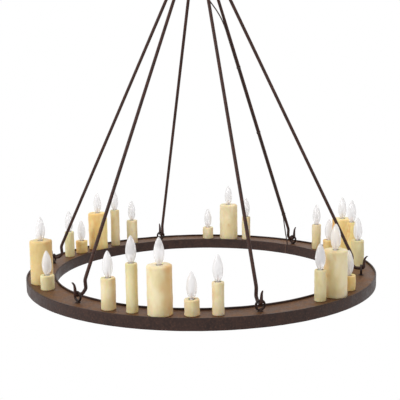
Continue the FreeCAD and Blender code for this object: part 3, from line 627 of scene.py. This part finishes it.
# ---- Chain links ----------------------------------------------------------------------
# Three links of 6 mm bar in alternate planes, bent round and butt welded: the weld stands out a
# little on one side of each.
link_names = ["chain_link_top", "chain_link_middle", "chain_link_bottom"]
link_bodies = ["top_link", "middle_link", "bottom_link"]
link_wire, link_mean, link_drop = 0.003, 0.014, 0.048
weld_cuts = (-0.0075, -0.005, -0.0025, 0.0025, 0.005, 0.0075)
weld_reach, weld_swell = 0.003, 1.16
for i, (node, body) in enumerate(zip(link_names, link_bodies)):
    low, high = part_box(node)
    middle = (low.z + high.z) / 2
    across = Vector((1, 0, 0)) if i % 2 == 0 else Vector((0, 1, 0))
    bpy.ops.mesh.primitive_torus_add(
        major_radius=link_mean, minor_radius=link_wire, major_segments=48, minor_segments=16,
        location=(0, 0, middle), rotation=across.to_track_quat("Z", "Y").to_euler())
    link = bpy.context.object
    link.name = f"welded_link_{i + 1}"
    bpy.ops.object.transform_apply(location=True, rotation=True, scale=True)
    for vertex in link.data.vertices:
        rise = vertex.co.z - middle
        if abs(rise) > 1e-5:
            vertex.co.z += math.copysign(link_drop / 2 - link_mean, rise)
    bpy.ops.object.mode_set(mode="EDIT")
    for rise in weld_cuts:
        bpy.ops.mesh.select_all(action="SELECT")
        bpy.ops.mesh.bisect(plane_co=(0, 0, middle + rise), plane_no=(0, 0, 1))
    bpy.ops.object.mode_set(mode="OBJECT")
    weld_side = Vector((0, 0, 1)).cross(across)
    for vertex in link.data.vertices:
        if abs(vertex.co.z - middle) < weld_reach and vertex.co.dot(weld_side) > 0:
            core = weld_side * link_mean + Vector((0, 0, vertex.co.z))
            vertex.co = core + (vertex.co - core) * weld_swell
    link.data.materials.append(wrought_iron)
    bpy.ops.object.shade_smooth()
    weather(link, 0.006, 0.0003)
    part_of(link, body, "forged_iron", node)

# ---- Hub plate and its eye bolt -------------------------------------------------------
# Forged eye bolt through the round plate that every rod hooks into, with a nut below. The plate
# is cut from 6 mm sheet, its edges eased with a file.
refinish("hub_plate", wrought_iron)
eye_centre_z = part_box("hub_eye_bolt")[1].z - 0.0175
hub_eye = eye_ring("hub_eye", (0, 0, eye_centre_z), (0, 1, 0), eye_mean, eye_wire)
hub_shank = turned("hub_shank", (0, 0, hub_top),
                   [(0, -0.0180), (0.0042, -0.0180), (0.0050, -0.0172), (0.0050, 0.0),
                    (0.0090, 0.0), (0.0090, 0.0020), (0.0084, 0.0032), (0.0060, 0.0062),
                    (0.0048, 0.0095), (0.0046, 0.0132), (0.0, 0.0134)], 40, wrought_iron)
hub_bolt = join("hub_eye_forged", hub_shank, hub_eye)
flow_together(hub_bolt, 0.0006, 2)
part_of(hub_bolt, "chandelier", "forged_iron", "hub_eye_bolt")

# ---- Hooked rods ----------------------------------------------------------------------
# Six forged rods of 11.1 mm bar. Each ends in a crook over the hub plate's rim above and, below,
# in a hook through its eye, drawn out to a curled horn. The coat is redder where hands rub it.
rod_iron = coated_iron("coated_rod_iron", "#2c1b17", "#442b24", "#613a2d", 0.014, 0.0003)
rod_radius = 0.00555
rod_foot, rod_apex = 0.5567, 1.1593
crook_top, hub_side, hub_hole = 1.0214, 0.0764, 0.0520
rod_slope = rod_apex / rod_foot


def on_rod_line(radius):
    """Height above the hoops' top edges of the rod's straight line."""
    return rod_apex - rod_slope * radius


rod_route = [(hub_hole, 0.9852), (hub_hole, crook_top), (hub_side, crook_top),
             (hub_side, on_rod_line(hub_side)), (0.5290, on_rod_line(0.5290)), (0.5255, 0.0310),
             (0.5400, 0.01765), (0.5679, 0.01765), (0.5679, 0.0370), (0.5700, 0.0500),
             (0.5766, 0.0592), (0.5818, 0.0598)]
rod_bends = [0.0122, 0.0122, 0.020, 0.028, 0.012, 0.014, 0.0091, 0.024, 0.014, 0.0045]
rod_corners = [Vector((r, 0, ring_top + z)) for r, z in rod_route]
rod_widths = [(0, 0.0026), (0.024, rod_radius), (-0.046, rod_radius), (-0.033, rod_radius * 0.88),
              (-0.020, rod_radius * 0.72), (-0.009, rod_radius * 0.52), (-0.0005, 0.0014)]
rod_master = forged_bar("rod_master", rod_corners, rod_bends, rod_widths, rod_iron)


def copy_at(master, name, placement):
    """Copy of a finished piece with its own mesh, put in place by a matrix."""
    piece = master.copy()
    piece.data = master.data.copy()
    piece.name = name
    piece.data.transform(placement)
    bpy.context.collection.objects.link(piece)
    return piece


for i in range(6):
    rod = copy_at(rod_master, f"forged_rod_{i + 1}", Matrix.Rotation(math.radians(60 * i), 4, "Z"))
    weather(rod, 0.030, 0.0005)
    part_of(rod, "chandelier", "forged_iron", f"hook_rod_{i + 1}")
bpy.data.objects.remove(rod_master)

# ---- Ring eyes ------------------------------------------------------------------------
# Forged eye bolts through the tray; their foot is upset against it, and a nut holds them below.
tray_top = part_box("tray_plate")[1].z
tray_circle = 0.5588
eye_bolt_ring = eye_ring("eye_ring", (tray_circle, 0, ring_top + 0.013), (1, 0, 0),
                         0.01375, 0.0036)
eye_foot = turned("eye_foot", (tray_circle, 0, tray_top),
                  [(0, -0.0165), (0.0034, -0.0165), (0.0040, -0.0158), (0.0040, 0.0),
                   (0.0088, 0.0), (0.0090, 0.0006), (0.0080, 0.0014), (0.0056, 0.0026),
                   (0.0044, 0.0042), (0.0043, 0.0062), (0.0, 0.0064)], 32, wrought_iron)
eye_master = join("eye_master", eye_foot, eye_bolt_ring)
flow_together(eye_master, 0.0007, 3)
for i in range(6):
    eye = copy_at(eye_master, f"tray_eye_{i + 1}", Matrix.Rotation(math.radians(60 * i), 4, "Z"))
    weather(eye, 0.009, 0.0005)
    part_of(eye, "chandelier", "forged_iron", "ring_eyes")
bpy.data.objects.remove(eye_master)

# ---- Hoops ----------------------------------------------------------------------------
# Two hoops of 38 by 4.8 mm flat bar, rolled on edge and butt welded. Hammering leaves long soft
# waves in the faces and uneven, slightly burred edges.
hoop_iron = coated_iron("coated_hoop_iron", "#2b1d1a", "#402d27", "#523629", 0.017, 0.0004)
hoop_height, hoop_wall, easing = 0.0381, 0.0048, 0.0009


def hoop(name, inner, node):
    """Flat bar on edge, rolled to the inner radius."""
    outer, bevel = inner + hoop_wall, 0.25 * easing
    low, high = -hoop_height, 0.0
    rise = [low + easing + (hoop_height - 2 * easing) * i / 9 for i in range(10)]
    stations = [(inner + easing, low), (outer - easing, low), (outer - bevel, low + bevel)]
    stations += [(outer, level) for level in rise]
    stations += [(outer - bevel, high - bevel), (outer - easing, high),
                 (inner + easing, high), (inner + bevel, high - bevel)]
    stations += [(inner, level) for level in reversed(rise)]
    stations += [(inner + bevel, low + bevel), (inner + easing, low)]
    piece = turned(name, (0, 0, ring_top), stations, 512, hoop_iron)
    weather(piece, 0.040, 0.0008)
    weather(piece, 0.012, 0.0003)
    part_of(piece, "chandelier", "forged_iron", node)


ring_outer = 0.6096
hoop("outer_hoop", ring_outer - hoop_wall, "outer_band")
hoop("inner_hoop", ring_outer - 0.1016, "inner_band")

# The inner hoop's butt weld shows on its inner face as a ground bead, paler than the bar. Half of
# it stands out of the face.
weld_bead = coated_iron("coated_weld_bead", "#5a4238", "#7d6255", "#8f7466", 0.004, 0.0001)
bead_reach, bead_radius = ring_outer - 0.1017, 0.0012
bead_place = Vector((math.cos(lead_azimuth), math.sin(lead_azimuth), 0)) * bead_reach
weld = forged_bar("hoop_weld", [bead_place + Vector((0, 0, ring_top - 0.0375)),
                                bead_place + Vector((0, 0, ring_top - 0.0006))], [],
                  [(0, bead_radius), (0.0371, bead_radius)], weld_bead, sides=10, pitch=0.0016)
weather(weld, 0.003, 0.0005)
part_of(weld, "chandelier", "forged_iron")

# ---- Tray, wireway cover and fixings --------------------------------------------------
# The tray is a ring of 2.5 mm sheet welded between the hoops. Its coat is painted lighter and
# browner than the hoops' as painted light, for the light falling on its upward face. A thin cover
# closes the wireway below it.
tray_iron_painted_light = coated_iron("coated_tray_sheet_painted_light", "#4e3320", "#6d4a2d", "#835b37", 0.030, 0.0003,
                        (0.42, 0.58))
refinish("tray_plate", tray_iron_painted_light)
refinish("wireway_cover", hoop_iron)
refinish("cover_fixings", plain_steel)
refinish("lead_ties", lead_sheath)
refinish("wiring_loop", lead_sheath)

# ---- Lamp holders ---------------------------------------------------------------------
# Black phenolic candelabra holders, moulded, with a slight gloss; each sits just below the rim.
phenolic = mottled("moulded_phenolic", "#17110e", "#2a1f1a", 0.008, 0.0007, 0.00004, (0.3, 0.45))
refinish("lamp_holders", phenolic)

# ---- Candles --------------------------------------------------------------------------
# Cast wax sleeves over the holders, each one different: hand-dripped, with a soft bumpy rim,
# shallow pits and a few runs down the side. The wax is ivory, golden, honey or pale green.


def cast_wax(name, ivory, green, honey, honey_share):
    """Hand-poured wax: light passes a few millimetres into it."""
    material, tree, surface = new_material(name, IOR=1.44)
    place = add_node(tree, "ShaderNodeTexCoord").outputs["Object"]
    stretched = add_node(tree, "ShaderNodeMapping", {"Vector": place, "Scale": (1, 1, 0.45)})
    clouds = add_node(tree, "ShaderNodeTexNoise",
                      {"Vector": stretched.outputs[0], "Scale": 1 / 0.035, "Detail": 4.0})
    pours = add_node(tree, "ShaderNodeTexNoise",
                     {"Vector": stretched.outputs[0], "Scale": 1 / 0.020, "Detail": 5.0,
                      "Distortion": 0.6})
    pits = add_node(tree, "ShaderNodeTexNoise",
                    {"Vector": place, "Scale": 1 / 0.0035, "Detail": 4.0, "Roughness": 0.6})
    green_share = add_node(tree, "ShaderNodeMapRange",
                           {"Value": clouds.outputs["Fac"], "From Min": 0.42,
                            "From Max": 0.62}).outputs["Result"]
    base = add_node(tree, "ShaderNodeMix",
                    {0: green_share, 6: linear(ivory), 7: linear(green)},
                    data_type="RGBA").outputs[2]
    amber = add_node(tree, "ShaderNodeMapRange",
                     {"Value": pours.outputs["Fac"], "From Min": 0.66 - honey_share,
                      "From Max": 0.86 - honey_share}).outputs["Result"]
    # The attribute holds patina gathered in the wax's hollows and painted warm shading on one side
    # of each candle, standing in for how the light falls across it.
    patina_and_side_shade = add_node(tree, "ShaderNodeAttribute", attribute_name="hollow_patina_and_side_shade",
                     attribute_type="GEOMETRY").outputs["Fac"]
    amber = add_node(tree, "ShaderNodeMath", {0: amber, 1: patina_and_side_shade}, operation="ADD",
                     use_clamp=True).outputs[0]
    amber = add_node(tree, "ShaderNodeMath", {0: amber, 1: 0.8}, operation="MULTIPLY").outputs[0]
    tone = add_node(tree, "ShaderNodeMix", {0: amber, 6: base, 7: linear(honey)},
                    data_type="RGBA").outputs[2]
    relief = add_node(tree, "ShaderNodeBump",
                      {"Height": pits.outputs["Fac"], "Strength": 0.35,
                       "Distance": 0.0007}).outputs["Normal"]
    tree.links.new(tone, surface.inputs["Base Color"])
    tree.links.new(relief, surface.inputs["Normal"])
    surface.inputs["Roughness"].default_value = 0.46
    surface.inputs["Subsurface Weight"].default_value = 0.35
    surface.inputs["Subsurface Radius"].default_value = (1.0, 0.55, 0.22)
    surface.inputs["Subsurface Scale"].default_value = 0.006
    return material


wax = {
    "ivory": cast_wax("cast_wax_ivory", "#f3e5bf", "#e8d8a8", "#dfb272", 0.0),
    "green": cast_wax("cast_wax_pale_green", "#ece1b4", "#dccf9c", "#d8b774", -0.02),
    "golden": cast_wax("cast_wax_golden", "#e6cd92", "#dcc386", "#cf9a55", -0.02),
    "honey": cast_wax("cast_wax_honey", "#fce7a6", "#f1d08a", "#e2a050", 0.05),
}
candle_bore = 0.0103
# radius, height, rounding of the rim, sides
candle_kinds = {
    "pillar": (0.0375, 0.146, 0.0060, 72), "tall": (0.0180, 0.147, 0.0035, 44),
    "medium": (0.0225, 0.096, 0.0040, 48), "slim": (0.0180, 0.097, 0.0035, 44),
    "short": (0.0228, 0.048, 0.0040, 48),
}


def wax_stations(radius, height, rim):
    """From the base up the side, over the rim and down the bore."""
    foot = 0.003
    rows = max(8, round((height - rim - foot) / 0.0040))
    side = [(radius, foot + (height - rim - foot) * i / rows) for i in range(rows + 1)]
    over = arc((radius - rim, height - rim), (rim, rim), 12, 90, 6)
    lip = 0.0016
    across = [(radius - rim + (candle_bore + lip - radius + rim) * i / 4, height)
              for i in range(1, 4)] if radius - rim > candle_bore + 3 * lip else []
    inner = arc((candle_bore + lip, height - lip), (lip, lip), 90, 180, 4)
    bore = [(candle_bore, height * share) for share in (0.7, 0.4, 0.0)]
    return ([(candle_bore, 0.0), (radius - 0.0012, 0.0), (radius - 0.0003, 0.0009)] + side + over
            + across + inner + bore)


def smooth_step(low, high, value):
    """0 below low, 1 above high and an easy rise between."""
    share = min(1.0, max(0.0, (value - low) / (high - low)))
    return share * share * (3 - 2 * share)


def pour_wax(piece, centre, radius, height, rim, seed, painted_shade_side):
    """Moves the smooth sleeve's skin to a poured one: swells, pits, runs and an uneven rim."""
    def random_share(k):
        return noise.cell(Vector((seed * 3.7 + k * 1.9, seed * 0.77, k * 5.3)))

    # each run's angle, the height of its lower end, its half width and its thickness
    runs = []
    for k in range(3 if radius < 0.03 else 6):
        angle = 2 * math.pi * random_share(k)
        runs.append((angle, height * (0.15 + 0.7 * random_share(k + 20)),
                     0.0032 + 0.003 * random_share(k + 40), 0.0005 + 0.0006 * random_share(k + 60)))
    hollow_patina_and_side_shade = piece.data.attributes.new("hollow_patina_and_side_shade", "FLOAT", "POINT")
    shares = []
    for vertex in piece.data.vertices:
        x, y, z = vertex.co.x - centre.x, vertex.co.y - centre.y, vertex.co.z - centre.z
        out = math.hypot(x, y)
        angle = math.atan2(y, x)
        outer = smooth_step(candle_bore + 0.0012, radius - rim, out)
        lift = smooth_step(0.0, 0.010, z)
        where = Vector((math.cos(angle) * radius, math.sin(angle) * radius, z))
        shift = Vector((seed * 0.13, seed * 0.29, seed * 0.51))
        swell = (0.0011 * noise.noise((where + shift) / 0.030)
                 + 0.0006 * noise.noise((where + shift) / 0.011)
                 + 0.00025 * noise.noise((where + shift) / 0.0045))
        run = 0.0
        for start, end, width, thick in runs:
            across = math.remainder(angle - start, 2 * math.pi) * radius / width
            along = smooth_step(end - 0.004, end + 0.004, z)
            bead = math.exp(-((z - end - 0.004) / 0.005) ** 2)
            run = max(run, thick * math.exp(-across * across) * along * (1 + 0.5 * bead))
        grow = (swell + run - 0.0004) * outer * (0.25 + 0.75 * lift)
        if out > candle_bore + 0.0008:
            vertex.co.x += grow * x / out
            vertex.co.y += grow * y / out
            crown = smooth_step(height - rim * 1.4, height - rim * 0.3, z)
            ripple = noise.noise(Vector((math.cos(angle) * 1.3, math.sin(angle) * 1.3, seed)))
            ripple += 0.5 * noise.noise(Vector((math.cos(angle) * 3.1, math.sin(angle) * 3.1,
                                                seed + 9)))
            rim_share = smooth_step(candle_bore, radius, out)
            vertex.co.z += crown * (0.0013 * ripple * (0.3 + 0.7 * rim_share) + 0.15 * run)
        # Painted warm shading on one side of the candle, standing in for how the light falls across
        # it; it is stored with the patina in the hollows.
        shaded_side = math.cos(angle - math.radians(painted_shade_side[0]))
        shaded_side = painted_shade_side[1] * smooth_step(0.35, 1.0, shaded_side + 0.25 * noise.noise(where / 0.03))
        shares.append(outer * (0.35 * min(1.0, max(0.0, -swell / 0.0013)) + 0.9 * shaded_side))
    hollow_patina_and_side_shade.data.foreach_set("value", shares)


def finer(piece):
    """One level of subdivision surface, applied."""
    bpy.context.view_layer.objects.active = piece
    modifier = piece.modifiers.new("finer", "SUBSURF")
    modifier.levels = modifier.render_levels = 1
    bpy.ops.object.modifier_apply(modifier="finer")


candle_masters = {
    kind: turned(f"{kind}_master", (0, 0, 0), wax_stations(radius, height, rim), sides,
                 wax["ivory"])
    for kind, (radius, height, rim, sides) in candle_kinds.items()
}
large_group = ["medium", "tall", "pillar", "short", "slim"]
small_group = ["slim", "pillar", "short"]
candle_order = (large_group + small_group) * 3
candle_tints = ["green", "honey", "honey", "honey", "ivory", "ivory", "ivory", "ivory",
                "ivory", "ivory", "honey", "honey", "green", "ivory", "golden", "green",
                "ivory", "green", "ivory", "ivory", "ivory", "green", "ivory", "honey"]
# painted warm shading on one side of each candle, standing in for how the light falls across it:
# degrees round the candle, and how strongly
painted_shade_sides = [(200, 0.3), (160, 0.6), (190, 0.6), (180, 0.7), (20, 0.2), (0, 0.5), (10, 0.2),
               (180, 0.3), (20, 0.4), (350, 0.3), (250, 0.25), (230, 0.7), (0, 0.3), (180, 0.3),
               (10, 0.6), (340, 0.3), (0, 0.7), (0, 0.5), (350, 0.9), (0, 0.5), (190, 0.4),
               (0, 0.3), (190, 0.8), (210, 1.0)]
joint_places = {joint["name"]: joint["pos_m"] for joint in frame["joints"]}
candle_tops = []
for i, kind in enumerate(candle_order):
    x, y, z = joint_places[f"bulb_{i + 1:02d}_turn"]
    radius, height, rim, _ = candle_kinds[kind]
    foot = Vector((x, y, z - height))
    candle = copy_at(candle_masters[kind], f"candle_{i + 1:02d}_{kind}",
                     Matrix.Translation(foot) @ Matrix.Rotation(i * 1.3, 4, "Z"))
    pour_wax(candle, foot, radius, height, rim, i + 1, painted_shade_sides[i])
    finer(candle)
    candle.data.materials[0] = wax[candle_tints[i]]
    smooth_faces(candle)
    part_of(candle, "chandelier", "cast_wax", f"{kind}_covers")
    candle_tops.append(Vector((x, y, z)))
for master in candle_masters.values():
    bpy.data.objects.remove(master)

# ---- Bulbs ----------------------------------------------------------------------------
# Clear torpedo bulbs on candelabra caps: blown soda-lime glass so thin that it doesn't bend what
# is seen through it, a glass stem with two nickel wires, and a coiled tungsten filament between
# them. The glass's milky white is painted: a diffuse white share stands in for the bright room seen
# through the clear glass. It also mirrors the room as a hard coat does.
clear_glass, _, glass_surface = new_material("blown_soda_lime_glass", Roughness=0.03, IOR=1.02,
                                             Coat_Weight=0.8, Coat_Roughness=0.03)
# Painted milky white: a diffuse white share standing in for the bright room seen through the clear
# glass.
glass_surface.inputs["Base Color"].default_value = linear("#fcfbfc")
glass_surface.inputs["Transmission Weight"].default_value = 0.45
brass = mottled("nickelled_brass", "#a89468", "#c9b98d", 0.006, 0.0008, 0.00005, (0.22, 0.38),
                Metallic=1.0)
stem_glass, _, stem_surface = new_material("pressed_lead_glass", Roughness=0.08, IOR=1.3)
stem_surface.inputs["Base Color"].default_value = linear("#ecd9d6")
stem_surface.inputs["Transmission Weight"].default_value = 0.8
filament_wire = mottled("drawn_tungsten_wire", "#6c6a69", "#8c8480", 0.003, 0.0005, 0.00002,
                        (0.3, 0.45), Metallic=1.0)
cap_top = -0.0047
glass_shape = [(0.0, cap_top), (0.0061, cap_top), (0.0061, -0.0020), (0.0073, 0.0016),
               (0.0089, 0.0045), (0.0105, 0.0078), (0.0123, 0.0115), (0.0137, 0.0155),
               (0.0149, 0.0200),
               (0.0155, 0.0245), (0.0159, 0.0290), (0.0160, 0.0335), (0.0157, 0.0390),
               (0.0150, 0.0450), (0.0138, 0.0515), (0.0121, 0.0580), (0.0100, 0.0645),
               (0.0076, 0.0705), (0.0051, 0.0752), (0.0028, 0.0786), (0.0010, 0.0799),
               (0.0, 0.0800)]
glass_master = turned("glass_master", (0, 0, 0), glass_shape, 24, clear_glass)
finer(glass_master)
smooth_faces(glass_master)

cap = turned("cap", (0, 0, 0),
             [(0, -0.0252), (0.0020, -0.0252), (0.0024, -0.0249), (0.0024, -0.0242),
              (0.0053, -0.0217), (0.0057, -0.0211)]
             + [(0.0057 + 0.0002 * (1 - (k % 2)), -0.0208 + 0.0012 * k) for k in range(13)]
             + [(0.0059, -0.0050), (0.0054, cap_top), (0, cap_top)], 28, brass)
flare = turned("flare", (0, 0, 0),
               [(0, cap_top + 0.0009), (0.0044, cap_top + 0.0009), (0.0034, 0.0020),
                (0.0026, 0.0080), (0.0023, 0.0130), (0.0024, 0.0160), (0.0016, 0.0190),
                (0, 0.0200)], 16, stem_glass)
wires = []
for side in (-1, 1):
    wires.append(forged_bar("lead_in", [Vector((side * 0.0010, 0, 0.0120)),
                                        Vector((side * 0.0012, 0, 0.0215)),
                                        Vector((side * 0.0045, 0, 0.0290))],
                            [0.004], [(0, 0.0003), (1, 0.0003)], filament_wire, sides=6,
                            pitch=0.004))
filament = forged_bar("filament", [Vector((-0.0045, 0, 0.0290)), Vector((-0.0022, 0, 0.0345)),
                                   Vector((0, 0, 0.0300)), Vector((0.0022, 0, 0.0345)),
                                   Vector((0.0045, 0, 0.0290))],
                      [0.0012, 0.0012, 0.0012], [(0, 0.00035), (1, 0.00035)], filament_wire,
                      sides=6, pitch=0.002)
mount_master = join("mount_master", cap, flare, *wires, filament)
for i, top in enumerate(candle_tops):
    placement = Matrix.Translation(top) @ Matrix.Rotation(0.4 + i * 0.9, 4, "Z")
    node = f"bulb_{i + 1:02d}"
    part_of(copy_at(glass_master, f"{node}_glass", placement), node, "clear_glass", node)
    part_of(copy_at(mount_master, f"{node}_mount", placement), node, "plain_steel", node)
bpy.data.objects.remove(glass_master)
bpy.data.objects.remove(mount_master)
